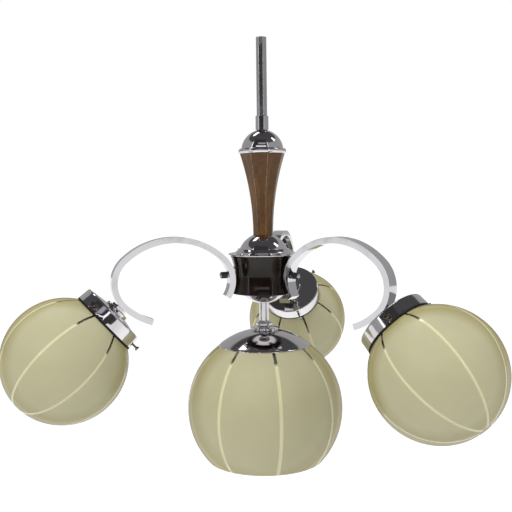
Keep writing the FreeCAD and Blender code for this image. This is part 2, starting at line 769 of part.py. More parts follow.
def globe(side):
    """Blown globe with a short lipped neck."""
    lip = "neck_radius + neck_lip"
    body = turned("globe_" + side, [
        ("neck_bore", "neck_start"),
        (lip, "neck_start"),
        (lip, "neck_start + neck_lip_height / 2"),
        ("neck_radius", "neck_start + neck_lip_height"),
        ("neck_radius", "neck_end", "globe_radius"),
        ("0", "globe_reach + globe_radius"),
        ("0", "globe_reach + globe_inner", "-globe_inner"),
        ("neck_bore", "neck_end_inside"),
    ])
    return placed(body, *cup_frame(side))


def gasket(side):
    """Felt ring between the cup's rim and the shoulder of the globe."""
    outer = "cup_radius - slip_gap"
    body = turned("globe_gasket_" + side, [
        ("gasket_inner", "cup_rim + slip_gap"),
        (outer, "cup_rim + slip_gap"),
        (outer, "globe_reach - sqrt(gasket_curve ^ 2 - (%s) ^ 2)" % outer, "-gasket_curve"),
        ("gasket_inner", "globe_reach - sqrt(gasket_curve ^ 2 - gasket_inner ^ 2)"),
    ])
    return placed(body, *cup_frame(side))


def thumb_screw(side, index):
    """A slim screw with a flared head, along its own Z from the globe's neck outwards."""
    end = "cup_radius + screw_stand"
    body = turned("thumb_screw_%s_%d" % (side, index + 1), [
        ("0", "screw_tip"),
        ("screw_radius", "screw_tip"),
        ("screw_radius", end + " - screw_head_height"),
        ("screw_head_radius", end + " - screw_head_edge"),
        ("screw_head_radius", end),
        ("0", end),
    ])
    return placed(body, *cup_frame(side), ("0", "0", "screw_level", screw_turn(side, index), "90"))


def boss(side):
    """Turned boss between an arm's nut and its cup."""
    body = turned("cup_boss_" + side, [
        ("pipe_clear", "boss_start"),
        ("boss_radius - boss_round", "boss_start", "boss_round"),
        ("boss_radius", "boss_start + boss_round"),
        ("boss_radius", "cup_floor"),
        ("pipe_clear", "cup_floor"),
    ])
    return placed(body, *cup_frame(side))


def arm_fasteners():
    """Studs and nuts at the hub, and the nipple and nuts that carry each cup."""
    studs, stud_nuts, nipples, arm_nuts, locknuts = [], [], [], [], []
    for side in ARMS:
        radial = ("0", "0", "waist_level", "azimuth_" + side, "90")
        studs.append(rod("stud_radius", "stud_end - stud_start", radial,
                         ("0", "0", "stud_start", "0", "0")))
        at_nut = ("0", "0", "stud_nut_start", "0", "0")
        nut_ring = DOC.addObject("Part::Cut", "StudNut")
        nut_ring.Base = rod("stud_nut_radius", "stud_nut_length", radial, at_nut)
        nut_ring.Tool = rod("stud_radius + slip_gap", "stud_nut_length", radial, at_nut)
        stud_nuts.append(nut_ring)
        nipple = DOC.addObject("Part::Cut", "Nipple")
        along = (*cup_frame(side), ("0", "0", "nipple_start", "0", "0"))
        nipple.Base = rod("pipe_radius", "nipple_end - nipple_start", *along)
        nipple.Tool = rod("pipe_bore", "nipple_end - nipple_start", *along)
        nipples.append(nipple)
        arm_nuts.append(nut("arm_nut_radius", "pipe_clear", "arm_nut_height",
                            *cup_frame(side), ("0", "0", "slip_gap", "0", "0")))
        locknuts.append(nut("locknut_radius", "pipe_clear", "locknut_height",
                            *cup_frame(side), ("0", "0", "cup_inside", "0", "0")))
    return [group("arm_studs", studs), group("stud_nuts", stud_nuts),
            group("cup_nipples", nipples), group("arm_nuts", arm_nuts),
            group("cup_locknuts", locknuts)]


def axis_wiring():
    """The supply flex inside the tube, and the flex down to the centre lampholder."""
    supply_end = "wire_level + 2 * wire_radius"
    supply = turned("supply_cable", [
        ("0", supply_end),
        ("supply_radius", supply_end),
        ("supply_radius", "-supply_start"),
        ("0", "-supply_start"),
    ])
    drop_top = "wire_level - 2 * wire_radius"
    drop_end = "centre_holder_level - socket_back + slip_gap"
    drop = turned("centre_wire", [
        ("0", drop_end),
        ("wire_radius", drop_end),
        ("wire_radius", drop_top),
        ("0", drop_top),
    ])
    return [supply, drop]


def build_nodes():
    """Every sub-part, from the top down and then arm by arm."""
    nodes = suspension() + top_dome() + baluster() + hub() + shade_carrier() + centre_shade()
    nodes += lampholder("centre", "0", CENTRE_HOLDER_FRAME) + axis_wiring() + arm_fasteners()
    for side in ARMS:
        nodes += [arm(side), arm_wire(side), boss(side), cup(side), globe(side), gasket(side)]
        nodes += lampholder(side, "holder_start", *cup_frame(side))
        nodes += [thumb_screw(side, index) for index in range(SCREWS_PER_CUP)]
    return nodes


def check_document(nodes):
    """Stop on any failed object or unsound shape."""
    failed = [item.Label for item in DOC.Objects
              if "Invalid" in item.State or "Error" in item.State]
    if failed:
        raise RuntimeError("failed: " + ", ".join(failed))
    for node in nodes:
        if node.Shape.isNull() or not node.Shape.isValid() or not node.Shape.Solids:
            raise RuntimeError("%s has no sound shape" % node.Label)


def main():
    nodes = build_nodes()
    DOC.recompute()
    check_document(nodes)
    os.makedirs("parts", exist_ok=True)
    for node in nodes:
        node.Shape.exportStep(os.path.join("parts", node.Label + ".step"))
        print("%-26s %2d solids %10.1f mm3" % (node.Label, len(node.Shape.Solids),
                                               node.Shape.Volume))
    print(len(nodes), "sub-parts")


main()
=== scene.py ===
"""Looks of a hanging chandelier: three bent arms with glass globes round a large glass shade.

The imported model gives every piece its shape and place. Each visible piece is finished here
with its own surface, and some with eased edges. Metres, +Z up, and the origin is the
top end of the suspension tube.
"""
from __future__ import annotations

import json
import logging
import math
from dataclasses import dataclass, field
from enum import Enum
from typing import Callable, Iterable, Optional, Sequence

import bpy
from mathutils import Matrix, Vector

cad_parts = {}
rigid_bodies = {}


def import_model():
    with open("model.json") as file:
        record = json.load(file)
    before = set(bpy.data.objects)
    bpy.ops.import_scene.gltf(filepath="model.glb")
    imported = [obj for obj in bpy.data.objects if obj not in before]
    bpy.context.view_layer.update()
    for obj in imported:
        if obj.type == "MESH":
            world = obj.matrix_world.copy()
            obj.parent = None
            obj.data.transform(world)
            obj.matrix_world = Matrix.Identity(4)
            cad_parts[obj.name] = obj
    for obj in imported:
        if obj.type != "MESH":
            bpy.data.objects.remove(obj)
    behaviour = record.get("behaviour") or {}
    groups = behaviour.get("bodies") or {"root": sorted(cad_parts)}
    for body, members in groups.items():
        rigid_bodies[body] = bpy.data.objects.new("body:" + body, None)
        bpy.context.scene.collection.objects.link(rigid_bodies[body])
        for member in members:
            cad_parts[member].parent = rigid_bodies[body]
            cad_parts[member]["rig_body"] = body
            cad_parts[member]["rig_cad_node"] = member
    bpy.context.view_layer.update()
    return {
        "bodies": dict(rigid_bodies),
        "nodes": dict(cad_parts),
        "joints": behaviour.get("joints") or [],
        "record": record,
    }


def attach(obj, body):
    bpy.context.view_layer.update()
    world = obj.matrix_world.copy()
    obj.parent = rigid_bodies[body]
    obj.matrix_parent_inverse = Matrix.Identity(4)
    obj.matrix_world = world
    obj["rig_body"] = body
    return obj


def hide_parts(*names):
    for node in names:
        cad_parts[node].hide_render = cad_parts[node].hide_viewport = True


log = logging.getLogger("chandelier")

MM = 0.001
Colour = tuple[float, float, float]


class Side(Enum):
    """The three arms, by the way each one points, in degrees round the axis."""

    BACK = 90.0
    LEFT = 210.0
    RIGHT = 330.0

    @property
    def label(self) -> str:
        """The word that ends the names of this arm's pieces."""
        return self.name.lower()


# ------------------------------------------------------------------ node trees

class Nodes:
    """A node tree that is written as a chain of short calls."""

    def __init__(self, tree: bpy.types.NodeTree) -> None:
        """Start from an empty tree.

        Args:
            tree: the tree to fill.
        """
        self.tree = tree
        tree.nodes.clear()

    def add(self, kind: str, **settings: object) -> bpy.types.Node:
        """Add a node and set its properties.

        Args:
            kind: the node's type name.
            **settings: properties of the node.

        Returns:
            The new node.
        """
        node = self.tree.nodes.new(kind)
        for name, setting in settings.items():
            setattr(node, name, setting)
        return node

    def feed(self, socket: bpy.types.NodeSocket, source: object) -> None:
        """Link a socket to another node's output, or set it to a plain value.

        Args:
            socket: the input to fill.
            source: an output socket, or a value.
        """
        if isinstance(source, bpy.types.NodeSocket):
            self.tree.links.new(source, socket)
        elif isinstance(source, tuple) and socket.type == "RGBA":
            socket.default_value = (*source, 1.0)
        else:
            socket.default_value = source

    def math(self, operation: str, *values: object) -> bpy.types.NodeSocket:
        """A Math node.

        Args:
            operation: the node's operation.
            *values: its inputs, in order.

        Returns:
            The result socket.
        """
        node = self.add("ShaderNodeMath", operation=operation)
        for socket, source in zip(node.inputs, values):
            self.feed(socket, source)
        return node.outputs[0]

    def vector(self, operation: str, *values: object) -> bpy.types.Node:
        """A Vector Math node.

        Args:
            operation: the node's operation.
            *values: its inputs, in order.

        Returns:
            The node, whose output is "Vector" or "Value".
        """
        node = self.add("ShaderNodeVectorMath", operation=operation)
        for socket, source in zip(node.inputs, values):
            self.feed(socket, source)
        return node

    def along(self, point: object, axis: Sequence[float]) -> bpy.types.NodeSocket:
        """How far a point lies along an axis.

        Args:
            point: the point's socket.
            axis: a unit vector.

        Returns:
            The distance's socket.
        """
        return self.vector("DOT_PRODUCT", point, tuple(axis)).outputs["Value"]

    def ease(self, source: object, low: float, high: float,
             to_low: float = 0.0, to_high: float = 1.0) -> bpy.types.NodeSocket:
        """A smooth step between two values.

        Args:
            source: what is stepped on.
            low: where the step starts.
            high: where it ends.
            to_low: the result before it.
            to_high: the result after it.

        Returns:
            The result socket.
        """
        node = self.add("ShaderNodeMapRange", interpolation_type="SMOOTHSTEP")
        for name, entry in (("Value", source), ("From Min", low), ("From Max", high),
                            ("To Min", to_low), ("To Max", to_high)):
            self.feed(node.inputs[name], entry)
        return node.outputs["Result"]

    def mix(self, share: object, first: object, second: object,
            blend: str = "MIX") -> bpy.types.NodeSocket:
        """A mix of two colours.

        Args:
            share: how much of the second.
            first: a colour or its socket.
            second: a colour or its socket.
            blend: the blend mode.

        Returns:
            The mixed colour's socket.
        """
        node = self.add("ShaderNodeMix", data_type="RGBA", blend_type=blend)
        self.feed(node.inputs["Factor"], share)
        self.feed(node.inputs[6], first)
        self.feed(node.inputs[7], second)
        return node.outputs[2]

    def noise(self, point: object, scale: float, detail: float = 3.0,
              rough: float = 0.55) -> bpy.types.NodeSocket:
        """A noise value from 0 to 1.

        Args:
            point: where it is read.
            scale: its fineness, per metre.
            detail: how many octaves.
            rough: how strong the fine octaves are.

        Returns:
            The value's socket.
        """
        node = self.add("ShaderNodeTexNoise")
        for name, entry in (("Vector", point), ("Scale", scale), ("Detail", detail),
                            ("Roughness", rough)):
            self.feed(node.inputs[name], entry)
        return node.outputs["Fac"]

    def stretched(self, point: object, scale: Sequence[float]) -> bpy.types.NodeSocket:
        """Coordinates scaled unevenly, for grain and brushing.

        Args:
            point: the coordinates.
            scale: a factor for each axis.

        Returns:
            The scaled coordinates' socket.
        """
        return self.vector("MULTIPLY", point, tuple(scale)).outputs["Vector"]

    def ramp(self, source: object,
             stops: Sequence[tuple[float, Colour]]) -> bpy.types.NodeSocket:
        """A colour ramp.

        Args:
            source: the value it reads.
            stops: positions and colours, in order.

        Returns:
            The colour's socket.
        """
        node = self.add("ShaderNodeValToRGB")
        band = node.color_ramp
        while len(band.elements) < len(stops):
            band.elements.new(0.5)
        for element, (place, colour) in zip(band.elements, stops):
            element.position = place
            element.color = (*colour, 1.0)
        self.feed(node.inputs["Fac"], source)
        return node.outputs["Color"]

    def bump(self, height: object, distance: float,
             strength: float = 1.0) -> bpy.types.NodeSocket:
        """A bumped normal.

        Args:
            height: the height, from 0 to 1.
            distance: the height of 1, in metres.
            strength: how much of it counts.

        Returns:
            The normal's socket.
        """
        node = self.add("ShaderNodeBump")
        for name, entry in (("Height", height), ("Distance", distance),
                            ("Strength", strength)):
            self.feed(node.inputs[name], entry)
        return node.outputs["Normal"]

    def place(self) -> bpy.types.NodeSocket:
        """Object coordinates, in metres in the row frame."""
        return self.add("ShaderNodeTexCoord").outputs["Object"]

    def surface(self, **inputs: object) -> None:
        """Finish the tree with one Principled shader.

        Args:
            **inputs: the shader's inputs, with _ for each space in their names.
        """
        shader = self.add("ShaderNodeBsdfPrincipled")
        for name, source in inputs.items():
            self.feed(shader.inputs[name.replace("_", " ")], source)
        output = self.add("ShaderNodeOutputMaterial")
        self.tree.links.new(shader.outputs[0], output.inputs["Surface"])


# ------------------------------------------------------------------ finishes

@dataclass(frozen=True)
class Finish:
    """A surface finish that is made into a material once."""

    name: str

    def material(self) -> bpy.types.Material:
        """The finish's material, made the first time it is asked for."""
        made = bpy.data.materials.get(self.name)
        if made is None:
            made = bpy.data.materials.new(self.name)
            made.use_nodes = True
            self.write(Nodes(made.node_tree))
        return made

    def write(self, nodes: Nodes) -> None:
        """Write the finish's nodes.

        Args:
            nodes: the empty tree.
        """
        raise NotImplementedError


@dataclass(frozen=True)
class Plated(Finish):
    """Bright plate with hazy patches, fine scratches and a few dark pits."""

    tint: Colour = (0.60, 0.59, 0.60)
    roughness: float = 0.06
    haze: float = 0.10
    pits: float = 0.0
    wave: float = 0.00003

    def write(self, nodes: Nodes) -> None:
        """Write the plate: haze in the roughness, pits in the colour, waves in the normal.

        Args:
            nodes: the empty tree.
        """
        point = nodes.place()
        patches = nodes.noise(point, 38.0, 4.0)
        fine = nodes.noise(point, 900.0, 2.0)
        rough = nodes.ease(patches, 0.42, 0.72, self.roughness, self.roughness + self.haze)
        spots = nodes.ease(nodes.noise(point, 420.0, 3.0, 0.7), 0.66, 0.74)
        worn = nodes.math("MULTIPLY", spots, nodes.ease(patches, 0.45, 0.6))
        share = nodes.math("MULTIPLY", worn, self.pits)
        dull = nodes.mix(nodes.math("MULTIPLY", nodes.ease(patches, 0.5, 0.8), 0.25),
                         self.tint, tuple(0.72 * part for part in self.tint))
        colour = nodes.mix(share, dull, (0.05, 0.035, 0.03))
        pitted = nodes.math("ADD", rough, nodes.math("MULTIPLY", share, 0.4))
        waves = nodes.math("ADD", nodes.noise(point, 60.0, 1.0),
                           nodes.math("MULTIPLY", fine, 0.03))
        nodes.surface(Base_Color=colour, Metallic=1.0, Roughness=pitted,
                      Normal=nodes.bump(waves, self.wave))


@dataclass(frozen=True)
class Enamel(Finish):
    """Deep gloss enamel with faint polishing marks."""

    colour: Colour = (0.0062, 0.0032, 0.0022)
    roughness: float = 0.10

    def write(self, nodes: Nodes) -> None:
        """Write the enamel.

        Args:
            nodes: the empty tree.
        """
        point = nodes.place()
        smears = nodes.noise(nodes.stretched(point, (1.0, 1.0, 0.3)), 70.0, 4.0)
        colour = nodes.mix(nodes.ease(smears, 0.45, 0.75), self.colour,
                           tuple(2.2 * part for part in self.colour))
        rough = nodes.ease(smears, 0.35, 0.8, self.roughness, self.roughness + 0.14)
        nodes.surface(Base_Color=colour, Roughness=rough, Specular_IOR_Level=0.32,
                      Normal=nodes.bump(nodes.noise(point, 90.0, 2.0), 0.00004))


@dataclass(frozen=True)
class Walnut(Finish):
    """Oiled wood with upright grain, and pale edges between its faces: worn in patches, with a
    painted highlight along them.
    """

    turn: float = 3.5
    faces: int = 8
    edge_wear_and_highlight: float = 0.75

    def write(self, nodes: Nodes) -> None:
        """Write the wood, with the pale edges found from the turn round the axis.

        Args:
            nodes: the empty tree.
        """
        point = nodes.place()
        apart = nodes.add("ShaderNodeSeparateXYZ")
        nodes.feed(apart.inputs[0], point)
        angle = nodes.math("ARCTAN2", apart.outputs["Y"], apart.outputs["X"])
        step = 2 * math.pi / self.faces
        local = nodes.math("WRAP", nodes.math("SUBTRACT", angle, math.radians(self.turn)),
                           step / 2, -step / 2)
        edge = nodes.ease(nodes.math("ABSOLUTE", local), step * 0.455, step * 0.5)
        grain = nodes.noise(nodes.stretched(point, (1.0, 1.0, 0.045)), 900.0, 5.0, 0.62)
        figure = nodes.noise(nodes.stretched(point, (1.0, 1.0, 0.18)), 95.0, 3.0)
        flecks = nodes.noise(nodes.stretched(point, (1.0, 1.0, 0.12)), 1900.0, 2.0, 0.7)
        wood = nodes.ramp(grain, ((0.30, (0.012, 0.0040, 0.0010)), (0.50, (0.058, 0.022, 0.0030)),
                                  (0.72, (0.150, 0.066, 0.0080))))
        wood = nodes.mix(nodes.ease(figure, 0.42, 0.68), wood, (0.165, 0.068, 0.0070))
        wood = nodes.mix(0.5, wood, nodes.ramp(flecks, ((0.36, (0.010, 0.0040, 0.0012)),
                                                        (0.62, (0.150, 0.062, 0.0080)))))
        # Pale edges: worn in patches, and a painted highlight along each edge between the faces.
        chance = nodes.ease(nodes.noise(point, 130.0, 4.0, 0.65), 0.40, 0.58, 0.25, 1.0)
        share = nodes.math("MULTIPLY", nodes.math("MULTIPLY", edge, chance), self.edge_wear_and_highlight)
        colour = nodes.mix(share, wood, (0.30, 0.20, 0.12))
        rough = nodes.ease(grain, 0.3, 0.7, 0.36, 0.24)
        nodes.surface(Base_Color=colour, Roughness=rough, Specular_IOR_Level=0.35,
                      Normal=nodes.bump(grain, 0.00008, 0.7))


@dataclass(frozen=True)
class SatinGlass(Finish):
    """Satin glass on a round shade, with clear meridian stripes left in it. Its colour holds
    painted light: painted shade towards the rim, a painted highlight line inside the outline, and
    lighter stripes.
    """

    centre: tuple[float, float, float] = (0.0, 0.0, 0.0)
    pole: tuple[float, float, float] = (0.0, 0.0, 1.0)
    start: tuple[float, float, float] = (1.0, 0.0, 0.0)
    phase: float = 0.0
    stripe: float = 1.35 * MM
    stripes: int = 8
    fade: float = 6.0 * MM
    window: float = -42.0 * MM
    heart: Colour = (0.500, 0.472, 0.292)
    edge: Colour = (0.372, 0.325, 0.135)

    def write(self, nodes: Nodes) -> None:
        """Write the glass.

        Args:
            nodes: the empty tree.
        """
        point = nodes.vector("SUBTRACT", nodes.place(), self.centre).outputs["Vector"]
        across = Vector(self.pole).cross(Vector(self.start))
        first = nodes.along(point, self.start)
        second = nodes.along(point, across)
        step = 2 * math.pi / self.stripes
        turn = nodes.math("SUBTRACT", nodes.math("ARCTAN2", second, first),
                          math.radians(self.phase))
        away = nodes.math("ABSOLUTE", nodes.math("WRAP", turn, step / 2, -step / 2))
        ring = nodes.math("SQRT", nodes.math("ADD", nodes.math("MULTIPLY", first, first),
                                             nodes.math("MULTIPLY", second, second)))
        off = nodes.math("MULTIPLY", away, ring)
        line = nodes.ease(off, self.stripe - 0.1 * MM, self.stripe + 0.25 * MM, 1.0, 0.0)
        clear = nodes.math("MULTIPLY", line, nodes.ease(ring, self.fade, self.fade * 1.6))
        # The colour follows how squarely the glass faces the viewer. The satin tone is in the
        # middle, then a darker, yellower rim that is painted shade together with the deeper tint
        # of glass seen edge-on. Then comes a painted highlight line just inside the outline
        # (light), and painted shade along the outline itself (dark).
        facing = nodes.add("ShaderNodeLayerWeight")
        facing.inputs["Blend"].default_value = 0.5
        rim = facing.outputs["Facing"]
        light = tuple(1.22 * part for part in self.edge)
        dark = tuple(0.55 * part for part in self.edge)
        body = nodes.ramp(rim, ((0.0, self.heart), (0.40, self.heart), (0.66, self.edge),
                                (0.72, light), (0.77, self.edge), (0.92, dark)))
        mottled = nodes.ease(nodes.noise(nodes.place(), 14.0, 3.0), 0.3, 0.75, 0.96, 1.04)
        body = nodes.vector("SCALE", body)
        nodes.feed(body.inputs["Scale"], mottled)
        near = nodes.ease(nodes.along(point, self.pole), self.window - 3 * MM,
                          self.window + 3 * MM, 1.0, 0.0)
        open_line = nodes.math("MULTIPLY", clear, near)
        # The clear stripes are painted lighter than the satin. This is painted light, standing
        # for the lit glass seen through them.
        painted_stripe_light = tuple(min(1.0, 1.42 * part) for part in self.heart)
        colour = nodes.mix(clear, body.outputs["Vector"], painted_stripe_light)
        colour = nodes.mix(open_line, colour, (0.86, 0.84, 0.66))
        nodes.surface(Base_Color=colour, IOR=1.5, Specular_IOR_Level=0.35,
                      Roughness=nodes.math("SUBTRACT", 0.38, nodes.math("MULTIPLY", clear, 0.34)),
                      Transmission_Weight=nodes.ease(open_line, 0.0, 1.0, 0.12, 1.0),
                      Normal=nodes.bump(nodes.noise(nodes.place(), 1500.0, 2.0), 0.00002, 0.5))


@dataclass(frozen=True)
class Plain(Finish):
    """A plain moulded, fired, woven or machined surface with a fine texture."""

    colour: Colour = (0.5, 0.5, 0.5)
    roughness: float = 0.5
    metal: float = 0.0
    fineness: float = 600.0
    depth: float = 0.00005

    def write(self, nodes: Nodes) -> None:
        """Write the surface.

        Args:
            nodes: the empty tree.
        """
        point = nodes.place()
        fine = nodes.noise(point, self.fineness, 3.0)
        broad = nodes.noise(point, self.fineness / 14, 2.0)
        colour = nodes.mix(nodes.ease(broad, 0.3, 0.75), self.colour,
                           tuple(0.78 * part for part in self.colour))
        rough = nodes.ease(fine, 0.3, 0.7, self.roughness, min(1.0, self.roughness + 0.15))
        nodes.surface(Base_Color=colour, Metallic=self.metal, Roughness=rough,
                      Normal=nodes.bump(fine, self.depth))


CHROME = Plated("polished_plate")
SCREW_PLATE = Plated("worn_screw_plate", tint=(0.24, 0.215, 0.18), roughness=0.22, haze=0.2,
                     pits=0.8)
TUBE_PLATE = Plated("tarnished_plate", tint=(0.50, 0.485, 0.50), roughness=0.16, haze=0.18,
                    pits=0.9)
SPUN_PLATE = Plated("spun_plate", tint=(0.60, 0.58, 0.59), roughness=0.05, haze=0.07)
ARM_PLATE = Plated("arm_plate", tint=(0.62, 0.61, 0.63), roughness=0.07, haze=0.08,
                   pits=0.3)
CUP_PLATE = Plated("cup_plate", tint=(0.62, 0.61, 0.62), roughness=0.05, haze=0.06)
DRUM_ENAMEL = Enamel("black_enamel")
NUT_ENAMEL = Enamel("black_nut", colour=(0.015, 0.013, 0.013), roughness=0.22)
WALNUT = Walnut("oiled_walnut")
BAKELITE = Plain("black_bakelite", colour=(0.016, 0.014, 0.013), roughness=0.30,
                 fineness=380.0)
PORCELAIN = Plain("white_porcelain", colour=(0.72, 0.70, 0.64), roughness=0.28,
                  fineness=240.0)
FELT = Plain("black_felt", colour=(0.014, 0.013, 0.013), roughness=0.92, fineness=2600.0,
             depth=0.0003)
ZINC = Plain("zinc_plate", colour=(0.52, 0.52, 0.50), roughness=0.34, metal=1.0)
BRASS = Plain("lamp_brass", colour=(0.62, 0.44, 0.17), roughness=0.30, metal=1.0)
SHEATH = Plain("grey_sheath", colour=(0.55, 0.53, 0.49), roughness=0.6, fineness=900.0)


# ------------------------------------------------------------------ bench

class Bench:
    """Modelling by hand: each call works on the one selected object."""

    @staticmethod
    def only(piece: bpy.types.Object) -> bpy.types.Object:
        """Select one object alone.

        Args:
            piece: the object.

        Returns:
            The same object, now active.
        """
        bpy.ops.object.select_all(action="DESELECT")
        piece.select_set(True)
        bpy.context.view_layer.objects.active = piece
        return piece

    @staticmethod
    def edit(piece: bpy.types.Object, *steps: Callable[[], object]) -> None:
        """Run operators in edit mode with everything selected first.

        Args:
            piece: the object to shape.
            *steps: what to do, in order.
        """
        Bench.only(piece)
        bpy.ops.object.mode_set(mode="EDIT")
        bpy.ops.mesh.select_all(action="SELECT")
        for step in steps:
            step()
        bpy.ops.object.mode_set(mode="OBJECT")

    @staticmethod
    def pick(piece: bpy.types.Object, wanted: Callable[[bpy.types.MeshPolygon], bool]) -> None:
        """Select the faces that a test accepts, ready for edit mode.

        Args:
            piece: the object.
            wanted: the test on each face.
        """
        Bench.only(piece)
        bpy.ops.object.mode_set(mode="EDIT")
        bpy.ops.mesh.select_mode(type="FACE")
        bpy.ops.mesh.select_all(action="DESELECT")
        bpy.ops.object.mode_set(mode="OBJECT")
        for face in piece.data.polygons:
            face.select = wanted(face)
        bpy.ops.object.mode_set(mode="EDIT")

    @staticmethod
    def soften(piece: bpy.types.Object, width: float, segments: int = 2,
               limit: float = 30.0) -> None:
        """Ease the sharp edges of a piece.

        Args:
            piece: the piece.
            width: the bevel's width.
            segments: how many faces round each edge.
            limit: edges sharper than this many degrees are eased.
        """
        Bench.only(piece)
        bevel = piece.modifiers.new("eased_edges", "BEVEL")
        bevel.width = width
        bevel.segments = segments
        bevel.limit_method = "ANGLE"
        bevel.angle_limit = math.radians(limit)
        bpy.ops.object.modifier_apply(modifier=bevel.name)

    @staticmethod
    def smooth(piece: bpy.types.Object, angle: float = 38.0) -> None:
        """Shade a piece smooth except over sharp edges.

        Args:
            piece: the piece.
            angle: edges sharper than this many degrees stay sharp.
        """
        Bench.only(piece)
        bpy.ops.object.shade_smooth_by_angle(angle=math.radians(angle))
        weighted = piece.modifiers.new("face_weight", "WEIGHTED_NORMAL")
        weighted.keep_sharp = True
        bpy.ops.object.modifier_apply(modifier=weighted.name)

    @staticmethod
    def dress(piece: bpy.types.Object, finish: Finish) -> bpy.types.Object:
        """Give a piece its finish.

        Args:
            piece: the piece.
            finish: its finish.

        Returns:
            The same piece.
        """
        piece.data.materials.clear()
        piece.data.materials.append(finish.material())
        return piece


@dataclass
class Piece:
    """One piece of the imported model, cleaned, eased and dressed.

    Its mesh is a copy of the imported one, merged into whole faces before its edges are
    eased.
    """

    node: str
    finish: Finish
    slot: str
    ease: float = 0.0
    sharp: float = 38.0
    flat: bool = False

    def build(self, frame: dict) -> bpy.types.Object:
        """Make the piece.


        Returns:
            The finished piece.
        """
        source = frame["nodes"][self.node]
        body = source["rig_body"]
        Bench.only(source)
        bpy.ops.object.duplicate()
        piece = bpy.context.view_layer.objects.active
        piece.name = "finished_" + self.node
        del piece["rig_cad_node"]
        steps = [lambda: bpy.ops.mesh.remove_doubles(threshold=0.002 * MM)]
        if self.flat:
            steps.append(lambda: bpy.ops.mesh.dissolve_limited(angle_limit=math.radians(0.3)))
        Bench.edit(piece, *steps)
        if self.ease:
            Bench.soften(piece, self.ease)
        Bench.smooth(piece, self.sharp)
        Bench.dress(piece, self.finish)
        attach(piece, body)
        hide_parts(self.node)
        log.info("%s: %d faces, %s", piece.name, len(piece.data.polygons), self.finish.name)
        return piece


# ------------------------------------------------------------------ sub-assemblies

@dataclass
class Stem:
    """Tube, sleeve, dome and ring, and the wooden baluster below them."""

    edge: float = 0.25 * MM
    wood_edge: float = 0.7 * MM

    def pieces(self) -> Iterable[Piece]:
        """The stem's pieces, from the top down."""
        yield Piece("suspension_tube", TUBE_PLATE, "chrome")
        yield Piece("coupling_sleeve", CHROME, "chrome")
        yield Piece("top_dome", SPUN_PLATE, "chrome")
        yield Piece("top_ring", SPUN_PLATE, "chrome")
        yield Piece("baluster", WALNUT, "wood", ease=self.wood_edge, sharp=20.0)
        yield Piece("supply_cable", SHEATH, "cable")
        yield Piece("central_pipe", ZINC, "steel")
        yield Piece("pipe_nuts", ZINC, "steel")


@dataclass
class Hub:
    """Dome, collar, plate and bowl in plate round an enamelled drum."""

    edge: float = 0.2 * MM

    def pieces(self) -> Iterable[Piece]:
        """The hub's pieces, from the top down."""
        for node in ("hub_dome", "hub_collar", "hub_plate", "hub_bowl"):
            yield Piece(node, SPUN_PLATE, "chrome")
        yield Piece("hub_drum", DRUM_ENAMEL, "dark_metal")
        yield Piece("hub_core", ZINC, "steel")
        yield Piece("arm_studs", ZINC, "steel")
        yield Piece("stud_nuts", NUT_ENAMEL, "dark_metal", ease=self.edge)


@dataclass
class CentreLight:
    """The large striped shade with its plate, spool and lampholder."""

    level: float = -466.22 * MM
    phase: float = 23.0
    stripe: float = 2.0 * MM

    @property
    def glass(self) -> SatinGlass:
        """The shade's glass, with stripes from the plate to the mouth."""
        return SatinGlass("shade_satin_glass", centre=(0.0, 0.0, self.level),
                          pole=(0.0, 0.0, -1.0), phase=-self.phase, stripe=self.stripe,
                          window=-68.0 * MM)

    def pieces(self) -> Iterable[Piece]:
        """The centre light's pieces."""
        yield Piece("lower_tube", CHROME, "chrome")
        yield Piece("shade_spool", CHROME, "chrome")
        yield Piece("shade_plate", SPUN_PLATE, "chrome")
        yield Piece("centre_shade", self.glass, "shade_glass")
        yield Piece("shade_ring", ZINC, "steel")
        yield Piece("holder_shell_centre", BAKELITE, "bakelite")
        yield Piece("holder_socket_centre", PORCELAIN, "ceramic")
        yield Piece("centre_wire", SHEATH, "cable")


@dataclass
class ArmLight:
    """One bent arm with the cup, globe and lampholder at its end."""

    side: Side
    phase: float
    tilt: float = 42.0
    root: float = 182.08 * MM
    root_level: float = -328.54 * MM
    reach: float = 90.05 * MM
    bar_edge: float = 0.55 * MM

    @property
    def frame(self) -> Matrix:
        """The cup's frame: its Z runs out along the globe's own axis."""
        turn = Matrix.Rotation(math.radians(self.side.value), 4, "Z")
        lean = Matrix.Rotation(math.radians(90 + self.tilt), 4, "Y")
        return turn @ Matrix.Translation((self.root, 0.0, self.root_level)) @ lean

    @property
    def glass(self) -> SatinGlass:
        """The globe's glass, with stripes from the neck to the far pole."""
        frame = self.frame
        return SatinGlass("globe_satin_glass_" + self.side.label,
                          centre=tuple(frame @ Vector((0.0, 0.0, self.reach))),
                          pole=tuple(frame.to_3x3() @ Vector((0.0, 0.0, 1.0))),
                          start=tuple(frame.to_3x3() @ Vector((1.0, 0.0, 0.0))),
                          phase=self.phase)

    def pieces(self) -> Iterable[Piece]:
        """The arm's pieces, from the hub outwards."""
        end = "_" + self.side.label
        yield Piece("arm" + end, ARM_PLATE, "chrome", ease=self.bar_edge, flat=True)
        yield Piece("arm_wire" + end, SHEATH, "cable")
        yield Piece("cup_boss" + end, CHROME, "chrome")
        yield Piece("cup" + end, CUP_PLATE, "chrome")
        yield Piece("globe" + end, self.glass, "globe_glass")
        yield Piece("globe_gasket" + end, FELT, "felt")
        yield Piece("holder_shell" + end, BAKELITE, "bakelite")
        yield Piece("holder_socket" + end, PORCELAIN, "ceramic")
        for number in (1, 2, 3):
            yield Piece("thumb_screw%s_%d" % (end, number), SCREW_PLATE, "chrome")


